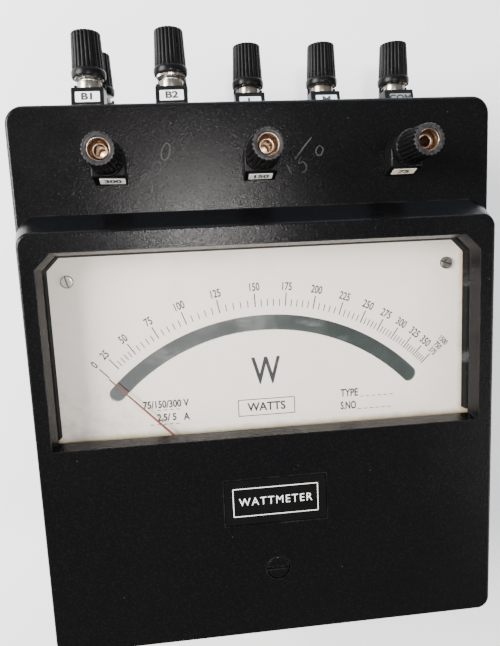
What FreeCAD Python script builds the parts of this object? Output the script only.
import FreeCAD, Part
import math
import os

# Portable dynamometer wattmeter, lying on its back: +X right, +Y to the terminal end, +Z up.
# The origin is on the table, under the middle of the whole object. Millimetres.

V = FreeCAD.Vector
ORIGIN = V(0, 0, 0)
UP = V(0, 0, 1)

# ---- Case ----
case_width = 189.2
case_length = 219.2
case_bottom = 4.0            # the feet lift the case by this much
split_height = 30.0          # joint between the tray and the cover
deck_height = 89.0           # terminal deck
face_height = 100.0          # raised face round the window
wall = 3.5
case_corner = 7.0
screw_x = 82.0
screw_inset = 14.0           # case screws and feet, from the case's ends
seam_chamfer = 0.4
raised_length = 178.5        # foot of the raised part, from the case's front
raised_corner = 9.0
step_run = 6.7               # the raised part's rear wall leans back this far
side_draft = 3.1
front_draft = 3.0
face_corner = 5.0
deck_edge_radius = 1.5
face_edge_radius = 1.2

# ---- Pointer axis, window and dial ----
front_to_pivot = 46.5
window_half = 85.7
window_front = 42.2          # from the pointer axis
window_rear = 117.9
window_chamfer = 6.0
window_taper = 1.0           # the window's walls lean in by this much down to the dial
dial_height = 87.0
dial_plate_thick = 1.0
glass_bottom = 90.5
glass_thick = 2.0
glass_margin = 2.2           # the glass and its spacer reach this far past the window
collar_margin = 2.4          # inside, round the glass's bedding
dial_margin = 2.0
dial_front_margin = 4.0
carrier_margin = 3.5
carrier_front = 31.2         # from the pointer axis
carrier_rear = 141.5
mirror_inner = 82.6
mirror_outer = 89.0
mirror_half_angle = 45.8     # to the centres of the slot's round ends
mirror_thick = 1.5
zero_angle = 43.8            # the pointer at rest, left of straight ahead
dial_screw_x = 77.4
dial_screw_y = 106.5
nameplate_half = 21.0        # its recess
nameplate_front = 5.0
nameplate_rear = 24.5
nameplate_recess = 1.0
nameplate_gap = 0.3

# ---- Terminals ----
stud_radius = 2.65
socket_radius = 2.0
socket_depth = 12.5
stud_tip = 24.0              # heights from here on are above the panel the terminal stands on
base_height = 8.0
base_half = 6.25
base_front = 9.0
base_slant = 2.5             # the front face leans back by this much
label_half = 4.7
label_half_height = 2.2
label_thick = 0.2
guard_wall = 1.1
guard_top = 10.6
collar_radius = 4.8
collar_top = 11.2
washer_radius = 5.8
washer_thick = 3.0
skirt_bottom = 11.2
skirt_radius = 6.7
skirt_recess = 3.3
skirt_height = 2.8
skirt_wall = 0.65
rib_radius = 6.35            # at the skirt
top_radius = 5.7
top_corner = 0.5
lip_radius = 3.8             # round the plug's way in
lip_thick = 0.6
knob_height = 17.0
insert_radius = 4.55
mouth_radius = 3.6
knob_bore = 4.6
wire_radius = 0.5
stud_hidden = 13.0           # inside the case
nut_across_flats = 10.0
nut_thick = 3.2
tag_thick = 0.6
tag_length = 15.0
open_knob = 2.2              # a slack knob stands this much off its tight place
less_open_knob = 1.4

deck_post_y = 151.4          # from the pointer axis
deck_post_pitch = 56.8
rear_post_pitch = 32.2
middle_row = 63.0
row_step = 12.0
upper_row = middle_row + row_step
lower_row = middle_row - row_step

# ---- Zero adjuster ----
zero_screw_y = -15.0
zero_disc_radius = 4.6
eccentricity = 1.2
pin_radius = 0.8
zero_stem_radius = 2.3
fork_clearance = 0.15

rear_reach = skirt_bottom + knob_height + open_knob
overall_length = case_length + rear_reach
pivot_y = front_to_pivot - overall_length / 2.0

# Everything below is built about the pointer axis, and moved to the origin when it is written.
half_width = case_width / 2.0
front_y = -front_to_pivot
rear_y = front_y + case_length
foot_y = front_y + raised_length
face_rear_y = foot_y - step_run
glass_top = glass_bottom + glass_thick
carrier_top = dial_height - dial_plate_thick - mirror_thick
carrier_thick = 1.5
face_under = face_height - wall
deck_under = deck_height - wall
zero_disc_top = face_height - 0.3
zero_disc_bottom = face_height - 2.4

# name, panel, x, y on the deck or height on the rear wall, how far the knob is slack
TERMINALS = [
    ("v300", "deck", -deck_post_pitch, deck_post_y, 0.0),
    ("v150", "deck", 0.0, deck_post_y, 0.0),
    ("v75", "deck", deck_post_pitch, deck_post_y, 0.0),
    ("b1", "rear", -2 * rear_post_pitch, upper_row, less_open_knob),
    ("b2", "rear", -rear_post_pitch, upper_row, open_knob),
    ("l", "rear", 0.0, middle_row, 0.0),
    ("m", "rear", rear_post_pitch, middle_row, 0.0),
    ("com", "rear", 2 * rear_post_pitch, middle_row, 0.0),
    ("a1", "rear", -2 * rear_post_pitch, lower_row, less_open_knob),
    ("a2", "rear", -rear_post_pitch, lower_row, less_open_knob),
]


# ---- Helpers ----
def box(x0, y0, z0, x1, y1, z1):
    return Part.makeBox(x1 - x0, y1 - y0, z1 - z0, V(x0, y0, z0))


def cyl(radius, z0, z1, x=0.0, y=0.0):
    return Part.makeCylinder(radius, z1 - z0, V(x, y, z0))


def ring(outer, inner, z0, z1, x=0.0, y=0.0):
    return cyl(outer, z0, z1, x, y).cut(cyl(inner, z0 - 1, z1 + 1, x, y))


def polygon_prism(points, z0, z1):
    wire = Part.makePolygon([V(x, y, z0) for x, y in points + points[:1]])
    return Part.Face(wire).extrude(V(0, 0, z1 - z0))


def corner_arc(cx, cy, z, radius, start):
    """Quarter circle, anticlockwise from the start angle in degrees."""
    points = []
    for step in (0, 45, 90):
        a = math.radians(start + step)
        points.append(V(cx + radius * math.cos(a), cy + radius * math.sin(a), z))
    return Part.Arc(*points)


def rounded_outline(half, y0, y1, front_radius, rear_radius, z):
    """Rectangle symmetric in X, with round corners of one radius in front and one behind."""
    arcs = [
        corner_arc(half - front_radius, y0 + front_radius, z, front_radius, -90),
        corner_arc(half - rear_radius, y1 - rear_radius, z, rear_radius, 0),
        corner_arc(-half + rear_radius, y1 - rear_radius, z, rear_radius, 90),
        corner_arc(-half + front_radius, y0 + front_radius, z, front_radius, 180),
    ]
    edges = []
    for i, arc in enumerate(arcs):
        edge = arc.toShape()
        following = arcs[(i + 1) % 4].toShape()
        edges.append(edge)
        edges.append(Part.makeLine(edge.Vertexes[-1].Point, following.Vertexes[0].Point))
    return Part.Wire(edges)


def rounded_block(half, y0, y1, radius, z0, z1):
    outline = rounded_outline(half, y0, y1, radius, radius, z0)
    return Part.Face(outline).extrude(V(0, 0, z1 - z0))


def edges_at(shape, z):
    found = []
    for edge in shape.Edges:
        if all(abs(v.Z - z) < 1e-4 for v in edge.Vertexes) and abs(edge.CenterOfMass.z - z) < 1e-4:
            found.append(edge)
    return found


def revolved(profile):
    """Solid of revolution about Z from points (radius, height)."""
    points = [V(r, 0, z) for r, z in profile]
    face = Part.Face(Part.makePolygon(points + points[:1]))
    return face.revolve(ORIGIN, UP, 360)


def sector(inner, outer, a0, a1, z0, z1):
    """Ring sector about Z; angles in degrees clockwise from +Y."""
    def at(radius, angle):
        a = math.radians(angle)
        return V(radius * math.sin(a), radius * math.cos(a), z0)
    mid = (a0 + a1) / 2.0
    edges = [
        Part.Arc(at(inner, a0), at(inner, mid), at(inner, a1)).toShape(),
        Part.makeLine(at(inner, a1), at(outer, a1)),
        Part.Arc(at(outer, a1), at(outer, mid), at(outer, a0)).toShape(),
        Part.makeLine(at(outer, a0), at(inner, a0)),
    ]
    return Part.Face(Part.Wire(edges)).extrude(V(0, 0, z1 - z0))


def hex_prism(across_flats, z0, z1):
    r = across_flats / math.sqrt(3)
    points = [(r * math.cos(math.radians(60 * i)), r * math.sin(math.radians(60 * i)))
              for i in range(6)]
    return polygon_prism(points, z0, z1)


def moved(shape, x, y, z=0.0):
    copy = shape.copy()
    copy.translate(V(x, y, z))
    return copy


def turned(shape, degrees):
    """Turned about the pointer axis, clockwise seen from above."""
    copy = shape.copy()
    copy.rotate(ORIGIN, UP, -degrees)
    return copy


def on_panel(shape, panel, x, place):
    """Stand a part built on Z = 0 on the deck, or lay it against the rear wall."""
    if panel == "deck":
        return moved(shape, x, place, deck_height)
    copy = shape.copy()
    copy.rotate(ORIGIN, V(1, 0, 0), -90)
    copy.translate(V(x, rear_y, place))
    return copy


def pan_screw(head_radius, head_height, shank_radius, length, slot=0.8):
    """Slotted screw, head up, underside of the head at Z = 0."""
    head = cyl(head_radius, 0, head_height)
    head = head.makeFillet(head_height * 0.45, edges_at(head, head_height))
    screw = head.fuse(cyl(shank_radius, -length, 0))
    groove = box(-head_radius - 1, -slot / 2, head_height * 0.5, head_radius + 1, slot / 2, 9)
    return screw.cut(groove)


def write(name, solids):
    shape = solids[0] if len(solids) == 1 else Part.makeCompound(solids)
    shape = moved(shape, 0, pivot_y)
    if not shape.isValid():
        print("not valid:", name)
    shape.exportStep("parts/" + name + ".step")
    print("%-18s %3d solids %10.1f mm3" % (name, len(shape.Solids), shape.Volume))


# ---- Case ----
SCREW_PLACES = [(x, y) for x in (-screw_x, screw_x)
                for y in (front_y + screw_inset, rear_y - screw_inset)]
CARRIER_POSTS = [(x, y) for x in (-70.0, 70.0) for y in (34.2, 137.0)]
MOVEMENT_POSTS = [(x, y) for x in (-42.0, 42.0) for y in (-28.0, 24.0)]


def window_cutter():
    """The opening's space, from above the face down to the dial."""
    depth = face_height - dial_height
    top = face_height + 1.0
    grow = window_taper / depth

    def outline(z):
        g = grow * (z - face_height)
        h = window_half + g
        y0 = window_front - g
        y1 = window_rear + 2 * g
        c = window_chamfer + g
        points = [(-h, y0), (h, y0), (h, y1 - c), (h - c, y1), (-h + c, y1), (-h, y1 - c)]
        return Part.makePolygon([V(x, y, z) for x, y in points + points[:1]])

    return Part.makeLoft([outline(dial_height - 1.0), outline(top)], True, True)


def window_block(margin, z0, z1):
    """The opening's outline grown by a margin, without its taper."""
    h = window_half + margin
    y0 = window_front - margin
    y1 = window_rear + margin
    c = window_chamfer + margin * 0.4
    points = [(-h, y0), (h, y0), (h, y1 - c), (h - c, y1), (-h + c, y1), (-h, y1 - c)]
    return polygon_prism(points, z0, z1)


def case_cover():
    split_y = foot_y - raised_corner
    skirt = rounded_block(half_width, front_y, rear_y, case_corner, split_height, deck_height)
    skirt = skirt.makeChamfer(seam_chamfer, edges_at(skirt, split_height))
    rim = skirt.common(box(-200, split_y, 0, 200, 400, 200))
    rim_edges = [e for e in edges_at(rim, deck_height) if e.CenterOfMass.y > split_y + 1]
    rim = rim.makeFillet(deck_edge_radius, rim_edges)
    skirt = skirt.common(box(-200, -200, 0, 200, split_y, 200)).fuse(rim)
    foot = rounded_outline(half_width, front_y, foot_y, case_corner, raised_corner, deck_height)
    face = rounded_outline(half_width - side_draft, front_y + front_draft, face_rear_y,
                           face_corner, face_corner, face_height)
    raised = Part.makeLoft([foot, face], True, True)
    raised = raised.makeFillet(face_edge_radius, edges_at(raised, face_height))
    cover = skirt.fuse(raised)
    inner_corner = case_corner - wall
    cover = cover.cut(rounded_block(half_width - wall, front_y + wall, rear_y - wall,
                                    inner_corner, split_height - 1, deck_under))
    cover = cover.cut(rounded_block(half_width - side_draft - wall, front_y + front_draft + wall,
                                    face_rear_y - 1.0, inner_corner, deck_under - 1, face_under))
    # The window, with a collar inside that the glass is bedded against.
    cover = cover.fuse(window_block(collar_margin, glass_top, face_under))
    cover = cover.cut(window_cutter())
    # Screw bosses, and posts for the dial carrier and the movement.
    for x, y in SCREW_PLACES:
        top = deck_under if y > foot_y else face_under
        cover = cover.fuse(cyl(5.0, split_height, top, x, y))
        cover = cover.cut(cyl(1.7, split_height - 1, split_height + 16, x, y))
    for x, y in MOVEMENT_POSTS:
        cover = cover.fuse(cyl(4.0, 84.0, face_under, x, y))
        cover = cover.cut(cyl(1.3, 83.0, 92.0, x, y))
    for x, y in CARRIER_POSTS:
        top = deck_under if y > foot_y else face_under
        cover = cover.fuse(cyl(3.5, carrier_top, top + 0.5, x, y))
        cover = cover.cut(cyl(1.0, carrier_top - 1, carrier_top + 2.5, x, y))
    # Recesses for the nameplate and the zero adjuster.
    cover = cover.cut(box(-nameplate_half, nameplate_front, face_height - nameplate_recess,
                          nameplate_half, nameplate_rear, face_height + 1))
    cover = cover.cut(cyl(zero_disc_radius + 0.3, zero_disc_bottom - 0.2, face_height + 1,
                          0, zero_screw_y))
    cover = cover.cut(cyl(zero_stem_radius + 0.05, 90, face_height, 0, zero_screw_y))
    for _, panel, x, place, _ in TERMINALS:
        cover = cover.cut(on_panel(cyl(stud_radius + 0.2, -wall - 3, 1), panel, x, place))
    return cover.removeSplitter()


def case_base():
    tray = rounded_block(half_width, front_y, rear_y, case_corner, case_bottom, split_height)
    tray = tray.makeChamfer(seam_chamfer, edges_at(tray, split_height))
    tray = tray.makeFillet(2.5, edges_at(tray, case_bottom))
    inner_corner = case_corner - wall
    tray = tray.cut(rounded_block(half_width - wall, front_y + wall, rear_y - wall, inner_corner,
                                  case_bottom + wall, split_height + 1))
    # Locating lip that stands up inside the cover.
    gap = 0.25
    lip = rounded_block(half_width - wall - gap, front_y + wall + gap, rear_y - wall - gap,
                        inner_corner, split_height - 6, split_height + 2)
    lip = lip.cut(rounded_block(half_width - wall - 2, front_y + wall + 2, rear_y - wall - 2,
                                1.5, split_height - 7, split_height + 3))
    joined = rounded_block(half_width - 1, front_y + 1, rear_y - 1, case_corner - 1,
                           split_height - 6, split_height - 1)
    joined = joined.cut(rounded_block(half_width - wall - 1, front_y + wall + 1, rear_y - wall - 1,
                                      inner_corner - 1, split_height - 7, split_height))
    tray = tray.fuse(lip).fuse(joined)
    for x, y in SCREW_PLACES:
        tray = tray.fuse(cyl(6.5, case_bottom + 1, split_height, x, y))
    for x, y in SCREW_PLACES:
        tray = tray.cut(cyl(2.1, case_bottom - 1, split_height + 1, x, y))
    for x, y in BOARD_POSTS:
        tray = tray.fuse(cyl(3.5, case_bottom + 1, board_bottom, x, y))
        tray = tray.cut(cyl(1.2, case_bottom + 5, board_bottom + 1, x, y))
    return tray.removeSplitter()


def rubber_feet():
    feet = []
    for x, y in SCREW_PLACES:
        foot = Part.makeCone(7.6, 8.6, case_bottom, V(x, y, 0))
        foot = foot.cut(cyl(4.6, -1, 2.4, x, y))
        feet.append(foot.cut(cyl(2.2, 0, case_bottom + 1, x, y)))
    return feet


def case_screws():
    screws = []
    for x, y in SCREW_PLACES:
        screw = pan_screw(4.0, 2.0, 1.7, split_height + 11)
        screw.rotate(ORIGIN, V(1, 0, 0), 180)
        screws.append(moved(screw, x, y, 2.4))
    return screws


# ---- Window and dial ----
def window_glass():
    return window_block(glass_margin, glass_bottom, glass_top)


def dial_frame():
    """Black spacer on three sides of the window, between the dial and the glass."""
    frame = window_block(glass_margin, dial_height, glass_bottom)
    frame = frame.cut(window_cutter())
    return frame.cut(box(-200, 0, 80, 200, window_front + 1.5, 100))


def mirror_slot(grow, z0, z1):
    """Ring sector with round ends, grown all round."""
    mean = (mirror_inner + mirror_outer) / 2.0
    half = (mirror_outer - mirror_inner) / 2.0 + grow
    slot = sector(mean - half, mean + half, -mirror_half_angle, mirror_half_angle, z0, z1)
    for angle in (-mirror_half_angle, mirror_half_angle):
        a = math.radians(angle)
        slot = slot.fuse(cyl(half, z0, z1, mean * math.sin(a), mean * math.cos(a)))
    return slot.removeSplitter()


def dial_plate():
    h = window_half + dial_margin
    y0 = window_front - dial_front_margin
    y1 = window_rear + dial_margin
    c = window_chamfer + 1.0
    points = [(-h, y0), (h, y0), (h, y1 - c), (h - c, y1), (-h + c, y1), (-h, y1 - c)]
    bottom = dial_height - dial_plate_thick
    plate = polygon_prism(points, bottom, dial_height)
    plate = plate.cut(mirror_slot(0, bottom - 1, dial_height + 1))
    for x in (-dial_screw_x, dial_screw_x):
        plate = plate.cut(cyl(1.6, bottom - 1, dial_height + 1, x, dial_screw_y))
    return plate


def mirror_strip():
    top = dial_height - dial_plate_thick
    return mirror_slot(2.0, top - mirror_thick, top)


def dial_carrier():
    """Sheet frame that holds the dial, the mirror and the dial screws."""
    h = window_half + carrier_margin
    bottom = carrier_top - carrier_thick
    plate = box(-h, carrier_front, bottom, h, carrier_rear, carrier_top)
    plate = plate.cut(box(-40, carrier_front + 14, bottom - 1, 40, carrier_front + 38,
                          carrier_top + 1))
    for x, y in CARRIER_POSTS:
        plate = plate.cut(cyl(1.4, bottom - 1, carrier_top + 1, x, y))
    for x in (-dial_screw_x, dial_screw_x):
        plate = plate.fuse(cyl(3.5, bottom, dial_height - dial_plate_thick, x, dial_screw_y))
        plate = plate.cut(cyl(1.35, bottom - 1, dial_height, x, dial_screw_y))
    return plate


def carrier_screws():
    screws = []
    for x, y in CARRIER_POSTS:
        screw = pan_screw(2.4, 1.3, 0.95, 3.8, 0.6)
        screw.rotate(ORIGIN, V(1, 0, 0), 180)
        screws.append(moved(screw, x, y, carrier_top - carrier_thick))
    return screws


def dial_screws():
    screws = []
    for x, angle in ((-dial_screw_x, 75), (dial_screw_x, 20)):
        screw = turned(pan_screw(2.5, 1.2, 1.3, 3.0, 0.7), angle)
        screws.append(moved(screw, x, dial_screw_y, dial_height))
    return screws


def nameplate():
    z0 = face_height - nameplate_recess
    half = nameplate_half - nameplate_gap
    plate = box(-half, nameplate_front + nameplate_gap, z0,
                half, nameplate_rear - nameplate_gap, z0 + 0.8)
    upright = [e for e in plate.Edges if abs(e.Vertexes[0].Z - e.Vertexes[1].Z) > 0.5]
    return plate.makeFillet(1.0, upright)


# ---- Zero adjuster ----
bridge_bottom = 92.2
bridge_top = 94.7
lever_bottom = 91.0
lever_top = 91.8
bearing_radius = 1.5


def zero_screw():
    stem_bottom = 94.0
    disc = cyl(zero_disc_radius, zero_disc_bottom, zero_disc_top)
    disc = disc.makeFillet(0.4, edges_at(disc, zero_disc_top))
    screw = disc.fuse(cyl(zero_stem_radius, stem_bottom, zero_disc_bottom))
    screw = screw.fuse(cyl(pin_radius, lever_bottom - 0.4, stem_bottom, 0, -eccentricity))
    screw = screw.cut(box(-6, -0.6, zero_disc_top - 1.1, 6, 0.6, face_height + 1))
    return moved(screw, 0, zero_screw_y)


def zero_lever():
    lever = cyl(3.4, lever_bottom, lever_top)
    lever = lever.fuse(box(-1.4, -19.0, lever_bottom, 1.4, 0, lever_top))
    slot = pin_radius + fork_clearance
    lever = lever.fuse(box(-slot - 1.2, -19.5, lever_bottom, slot + 1.2, -12.5, lever_top))
    lever = lever.cut(box(-slot, -20, lever_bottom - 1, slot, -13.6, lever_top + 1))
    lever = lever.fuse(box(0, -0.9, lever_bottom, 8.6, 0.9, lever_top))
    lever = lever.fuse(cyl(0.9, 89.8, lever_top, 8.6, 0))
    return lever.cut(cyl(bearing_radius + 0.06, 80, 100))


# ---- Movement ----
frame_half = 50.0            # the movement's two plates
frame_front = -34.0
frame_rear = 30.5
plate_top = 84.0
plate_under = 81.5
lower_plate_top = 37.5
lower_plate_bottom = 35.0
lower_bridge_top = 16.5
lower_bridge_bottom = 14.0
spindle_radius = 0.8
pivot_radius = 0.6
coil_centre = 59.0
bridge_pillar_x = 19.0
pointer_bottom = 88.6
pointer_top = 89.0
pointer_reach = 92.5
PILLARS = [(x, y) for x in (-33.0, 33.0) for y in (-29.0, 25.5)]


def movement_plates():
    upper = box(-frame_half, frame_front, plate_under, frame_half, frame_rear, plate_top)
    upper = upper.cut(cyl(16, 80, 90))
    lower = box(-frame_half, frame_front, lower_plate_bottom,
                frame_half, frame_rear, lower_plate_top)
    lower = lower.cut(cyl(5, 30, 40))
    for x, y in MOVEMENT_POSTS:
        upper = upper.cut(cyl(1.7, 80, 90, x, y))
    for x, y in PILLARS:
        upper = upper.cut(cyl(1.2, 80, 90, x, y))
    return [upper, lower]


def movement_pillars():
    pillars = []
    for x, y in PILLARS:
        pillar = cyl(3.0, lower_plate_top, plate_under, x, y)
        pillars.append(pillar.cut(cyl(1.05, plate_under - 8, plate_under + 1, x, y)))
    for x in (-bridge_pillar_x, bridge_pillar_x):
        pillars.append(cyl(2.4, plate_top, bridge_bottom, x, 0))
        pillars.append(cyl(2.4, lower_bridge_top, lower_plate_bottom, x, 0))
    return pillars


def movement_screws():
    screws = []
    for x, y in MOVEMENT_POSTS:
        screw = pan_screw(2.8, 1.6, 1.25, 8.5)
        screw.rotate(ORIGIN, V(1, 0, 0), 180)
        screws.append(moved(screw, x, y, plate_under))
    for x, y in PILLARS:
        screws.append(moved(pan_screw(2.4, 1.3, 1.0, 9.0), x, y, plate_top))
    return screws


def bearing_bridges():
    bars = []
    for z0, z1 in ((bridge_bottom, bridge_top), (lower_bridge_bottom, lower_bridge_top)):
        bar = box(-23, -5, z0, 23, 5, z1)
        bars.append(bar.cut(cyl(bearing_radius + 0.05, z0 - 1, z1 + 1)))
    return bars


def bearing_screws():
    """Slotted screws with a blind hole that each end of the spindle turns in."""
    upper = cyl(bearing_radius, 90.4, 95.6).cut(box(-3, -0.3, 94.9, 3, 0.3, 97))
    upper = upper.cut(cyl(pivot_radius + 0.06, 90, 92.3))
    lower = cyl(bearing_radius, 13.0, 18.6).cut(box(-3, -0.3, 12, 3, 0.3, 13.7))
    lower = lower.cut(cyl(pivot_radius + 0.06, 16.6, 19))
    return [upper, lower]


def spindle():
    shaft = cyl(spindle_radius, 19.2, 89.9)
    shaft = shaft.fuse(cyl(pivot_radius, 17.0, 19.2)).fuse(cyl(pivot_radius, 89.9, 91.9))
    for z0, z1, radius in ((88.0, pointer_bottom, 2.2), (19.4, 20.0, 2.0), (31.6, 32.6, 2.0)):
        shaft = shaft.fuse(cyl(radius, z0, z1))
    return shaft


def pointer():
    """Tapered blade with a hub and a tail, lying over the left end of the scale."""
    z0 = pointer_bottom
    z1 = pointer_top
    tip = 0.22
    blade = polygon_prism([(-0.9, 0), (0.9, 0), (tip, pointer_reach), (-tip, pointer_reach)], z0, z1)
    tail = polygon_prism([(-0.9, -13), (0.9, -13), (0.9, 0), (-0.9, 0)], z0, z1)
    side = polygon_prism([(-10.5, -0.7), (0, -0.7), (0, 0.7), (-10.5, 0.7)], z0, z1)
    arm = blade.fuse(tail).fuse(side).fuse(cyl(2.6, z0, z1))
    arm = arm.cut(cyl(spindle_radius + 0.02, z0 - 1, z1 + 1))
    return turned(arm.removeSplitter(), -zero_angle)


def balance_weights():
    weights = []
    for x, y in ((0.0, -11.0), (-9.0, 0.0)):
        weight = ring(1.9, 0.95, pointer_bottom - 1.6, pointer_bottom - 0.1, x, y)
        weights.append(turned(weight, -zero_angle))
    return weights


def voltage_coil():
    """Flat round coil standing on edge about the spindle."""
    coil = Part.makeCylinder(12.5, 5.0, V(0, -2.5, coil_centre), V(0, 1, 0))
    coil = coil.cut(Part.makeCylinder(9.5, 7.0, V(0, -3.5, coil_centre), V(0, 1, 0)))
    coil = coil.cut(cyl(spindle_radius + 0.02, 30, 80))
    return turned(coil, 45.0)


def coil_formers():
    formers = []
    for z0 in (coil_centre - 16.0, coil_centre + 2.0):
        former = ring(16.5, 15.2, z0, z0 + 14)
        for flange in (z0, z0 + 12.8):
            former = former.fuse(ring(25.0, 15.2, flange, flange + 1.2))
        formers.append(former.removeSplitter())
    return formers


def current_coils():
    coils = []
    for z0 in (coil_centre - 16.0, coil_centre + 2.0):
        coils.append(ring(24.0, 16.6, z0 + 1.25, z0 + 12.75))
    return coils


def shield_can():
    return ring(29.6, 28.4, lower_plate_top, plate_under).cut(box(-5, 20, 50, 5, 40, 68))


def damping_box():
    outer = sector(5.0, 41.0, 118, 242, 19.5, lower_plate_bottom)
    inner = sector(3.0, 40.0, 121, 239, 20.5, lower_plate_bottom + 1)
    return outer.cut(inner)


def damping_vane():
    blade = box(-0.25, spindle_radius + 0.02, 22.0, 0.25, 38.0, 31.0)
    hub = ring(2.0, spindle_radius + 0.02, 20.4, 21.4)
    rod = box(-0.5, 1.2, 20.9, 0.5, 12.0, 21.4)
    vane = blade.fuse(box(-0.5, spindle_radius + 0.02, 21.4, 0.5, 12.0, 22.0))
    vane = vane.fuse(hub).fuse(rod)
    return turned(vane.removeSplitter(), 180 - zero_angle)


def hairsprings():
    """Flat spirals: one over the pointer to the zero lever, one above the damping vane."""
    springs = []
    for z0, hub in ((89.2, 1.3), (32.8, 1.3)):
        turns = 4
        pitch = 1.55
        solid = ring(hub + 0.35, spindle_radius + 0.02, z0, z0 + 0.5)
        radius = hub
        for i in range(2 * turns):
            a0 = 180.0 * i
            centre = -pitch / 4.0 if i % 2 else 0.0
            arc = sector(radius, radius + 0.3, a0, a0 + 180.0, z0, z0 + 0.5)
            solid = solid.fuse(moved(arc, 0, centre))
            radius = radius + pitch / 4.0
        springs.append(solid)
    return springs


# ---- Resistors ----
board_bottom = 16.0
board_thick = 2.0
BOARD_POSTS = [(x, y) for x in (-68.0, 68.0) for y in (62.0, 128.0)]


def resistor_board():
    top = board_bottom + board_thick
    board = box(-76, 54, board_bottom, 76, 136, top)
    for x, y in BOARD_POSTS:
        board = board.cut(cyl(1.5, board_bottom - 1, top + 1, x, y))
    return board


def resistor_spools():
    spools = []
    radius = 8.0
    centre_z = board_bottom + board_thick + radius + 1.0
    for y in (72.0, 95.0, 118.0):
        for x0 in (-52.0, 8.0):
            body = Part.makeCylinder(radius - 1.5, 44.0, V(x0, y, centre_z), V(1, 0, 0))
            for end in (x0, x0 + 42.0):
                flange = Part.makeCylinder(radius, 2.0, V(end, y, centre_z), V(1, 0, 0))
                foot = box(end, y - 5, board_bottom + board_thick, end + 2, y + 5, centre_z - 4)
                body = body.fuse(flange).fuse(foot)
            spools.append(body.removeSplitter())
    return spools


# ---- Terminals ----
def washer_lift(slack):
    """The washers of the slack terminals sit on a link wire."""
    return 2 * wire_radius if slack > 0 else 0.0


def post_base():
    """D-shaped block with a slanted front for the label, and a guard behind the collar."""
    half = base_half
    outline = Part.Wire([
        Part.makeLine(V(-half, 0, 0), V(-half, -base_front, 0)),
        Part.makeLine(V(-half, -base_front, 0), V(half, -base_front, 0)),
        Part.makeLine(V(half, -base_front, 0), V(half, 0, 0)),
        Part.Arc(V(half, 0, 0), V(0, half, 0), V(-half, 0, 0)).toShape(),
    ])
    block = Part.Face(outline).extrude(V(0, 0, base_height))
    wedge = Part.Face(Part.makePolygon([
        V(-20, -base_front, 0), V(-20, -base_front - 5, 0), V(-20, -base_front - 5, base_height),
        V(-20, -base_front + base_slant, base_height), V(-20, -base_front, 0),
    ])).extrude(V(40, 0, 0))
    block = block.cut(wedge)
    guard = ring(base_half, base_half - guard_wall, base_height - 1, guard_top)
    guard = guard.cut(box(-10, -10, 0, 10, 0, 20))
    return block.fuse(guard).cut(cyl(stud_radius + 0.15, -1, 20)).removeSplitter()


def post_label():
    angle = math.degrees(math.atan2(base_slant, base_height))
    tape = box(-label_half, -label_thick, -label_half_height, label_half, 0, label_half_height)
    tape.rotate(ORIGIN, V(1, 0, 0), -angle)
    return moved(tape, 0, -base_front + base_slant / 2.0, base_height / 2.0)


def post_stud():
    stud = cyl(stud_radius, -stud_hidden, stud_tip)
    stud = stud.makeChamfer(0.25, edges_at(stud, -stud_hidden))
    return stud.cut(cyl(socket_radius, stud_tip - socket_depth, stud_tip + 1))


def post_collar():
    return ring(collar_radius, stud_radius + 0.05, base_height, collar_top)


def post_washer():
    washer = ring(washer_radius, stud_radius + 0.1, collar_top, collar_top + washer_thick)
    edges = [e for e in edges_at(washer, collar_top + washer_thick) if e.Length > 30]
    return washer.makeChamfer(0.4, edges)


def post_nut():
    top = -wall - tag_thick
    return hex_prism(nut_across_flats, top - nut_thick, top).cut(cyl(stud_radius + 0.05, -20, 0))


def post_tag():
    bottom = -wall - tag_thick
    tag = cyl(5.0, bottom, -wall).fuse(box(-2.5, 0, bottom, 2.5, tag_length, -wall))
    tag = tag.cut(cyl(stud_radius + 0.1, -20, 0))
    return tag.cut(cyl(1.2, -20, 0, 0, tag_length - 2.5))


def post_insert():
    """Brass core of the knob: it runs on the stud, and its mouth guides a plug."""
    bottom = skirt_bottom + skirt_recess - 0.1
    top = skirt_bottom + knob_height - 0.8
    return revolved([
        (stud_radius + 0.1, bottom), (insert_radius, bottom), (insert_radius, top),
        (mouth_radius, top), (mouth_radius, top - 5.2), (stud_radius + 0.1, top - 6.0),
    ])


def post_knob():
    """Tapered cap with a smooth skirt, a round top edge and a lip over the insert."""
    top = skirt_bottom + knob_height
    skirt_top = skirt_bottom + skirt_height
    recess_top = skirt_bottom + skirt_recess
    recess_radius = skirt_radius - skirt_wall
    bevel = math.sqrt(0.5) * top_corner
    outside = [
        V(recess_radius, 0, skirt_bottom), V(skirt_radius - 0.25, 0, skirt_bottom),
        V(skirt_radius, 0, skirt_bottom + 1.2), V(skirt_radius, 0, skirt_top - 0.3),
        V(rib_radius, 0, skirt_top), V(top_radius, 0, top - top_corner),
    ]
    middle = V(top_radius - top_corner + bevel, 0, top - top_corner + bevel)
    edge_end = V(top_radius - top_corner, 0, top)
    inside = [
        edge_end, V(lip_radius, 0, top), V(lip_radius, 0, top - lip_thick),
        V(knob_bore, 0, top - lip_thick), V(knob_bore, 0, recess_top),
        V(recess_radius, 0, recess_top), outside[0],
    ]
    edges = [Part.makeLine(a, b) for a, b in zip(outside, outside[1:])]
    edges.append(Part.Arc(outside[-1], middle, edge_end).toShape())
    edges += [Part.makeLine(a, b) for a, b in zip(inside, inside[1:])]
    return Part.Face(Part.Wire(edges)).revolve(ORIGIN, UP, 360)


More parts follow.
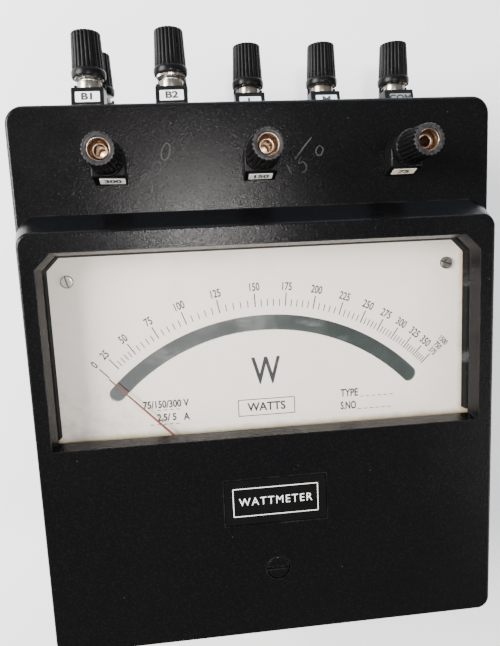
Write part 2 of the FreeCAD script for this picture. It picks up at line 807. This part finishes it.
def link_wires():
    """Bare wire hooked round an upper and a lower stud, under their washers."""
    loop = stud_radius + 0.15 + wire_radius
    z = collar_top + wire_radius
    drop = upper_row - lower_row
    hook = 0.6 * loop
    tangent = V(loop, 0, z)
    path = Part.Wire([
        Part.Arc(V(-hook, 0.8 * loop, z), V(-hook, -0.8 * loop, z), tangent).toShape(),
        Part.makeLine(tangent, V(loop, drop, z)),
        Part.Arc(V(loop, drop, z), V(-hook, drop + 0.8 * loop, z),
                 V(-hook, drop - 0.8 * loop, z)).toShape(),
    ])
    start = V(-hook, 0.8 * loop, z)
    profile = Part.Wire([Part.makeCircle(wire_radius, start, V(-0.8, -0.6, 0))])
    wire = path.makePipeShell([profile], True, False)
    wires = []
    for x in (-2 * rear_post_pitch, -rear_post_pitch):
        wires.append(on_panel(wire, "rear", x, upper_row))
    return wires


def terminal_group(shape):
    return [on_panel(shape, panel, x, place) for _, panel, x, place, _ in TERMINALS]


def washer_group():
    solids = []
    for _, panel, x, place, slack in TERMINALS:
        washer = moved(post_washer(), 0, 0, washer_lift(slack))
        solids.append(on_panel(washer, panel, x, place))
    return solids


def main():
    os.makedirs("parts", exist_ok=True)
    write("case_cover", [case_cover()])
    write("case_base", [case_base()])
    write("case_screws", case_screws())
    write("rubber_feet", rubber_feet())
    write("window_glass", [window_glass()])
    write("dial_frame", [dial_frame()])
    write("dial_plate", [dial_plate()])
    write("mirror_strip", [mirror_strip()])
    write("dial_carrier", [dial_carrier()])
    write("dial_screws", dial_screws())
    write("carrier_screws", carrier_screws())
    write("nameplate", [nameplate()])
    write("zero_screw", [zero_screw()])
    write("zero_lever", [zero_lever()])
    write("movement_plates", movement_plates())
    write("movement_pillars", movement_pillars())
    write("movement_screws", movement_screws())
    write("bearing_bridges", bearing_bridges())
    write("bearing_screws", bearing_screws())
    write("coil_formers", coil_formers())
    write("current_coils", current_coils())
    write("shield_can", [shield_can()])
    write("damping_box", [damping_box()])
    write("spindle", [spindle()])
    write("pointer", [pointer()])
    write("balance_weights", balance_weights())
    write("voltage_coil", [voltage_coil()])
    write("damping_vane", [damping_vane()])
    write("hairsprings", hairsprings())
    write("resistor_board", [resistor_board()])
    write("resistor_spools", resistor_spools())
    write("terminal_bases", terminal_group(post_base()))
    write("terminal_studs", terminal_group(post_stud()))
    write("terminal_collars", terminal_group(post_collar()))
    write("pressure_washers", washer_group())
    write("terminal_nuts", terminal_group(post_nut()))
    write("solder_tags", terminal_group(post_tag()))
    write("label_tapes", terminal_group(post_label()))
    write("link_wires", link_wires())
    for name, panel, x, place, slack in TERMINALS:
        write("insert_" + name, [on_panel(moved(post_insert(), 0, 0, slack), panel, x, place)])
        write("knob_" + name, [on_panel(moved(post_knob(), 0, 0, slack), panel, x, place)])


main()
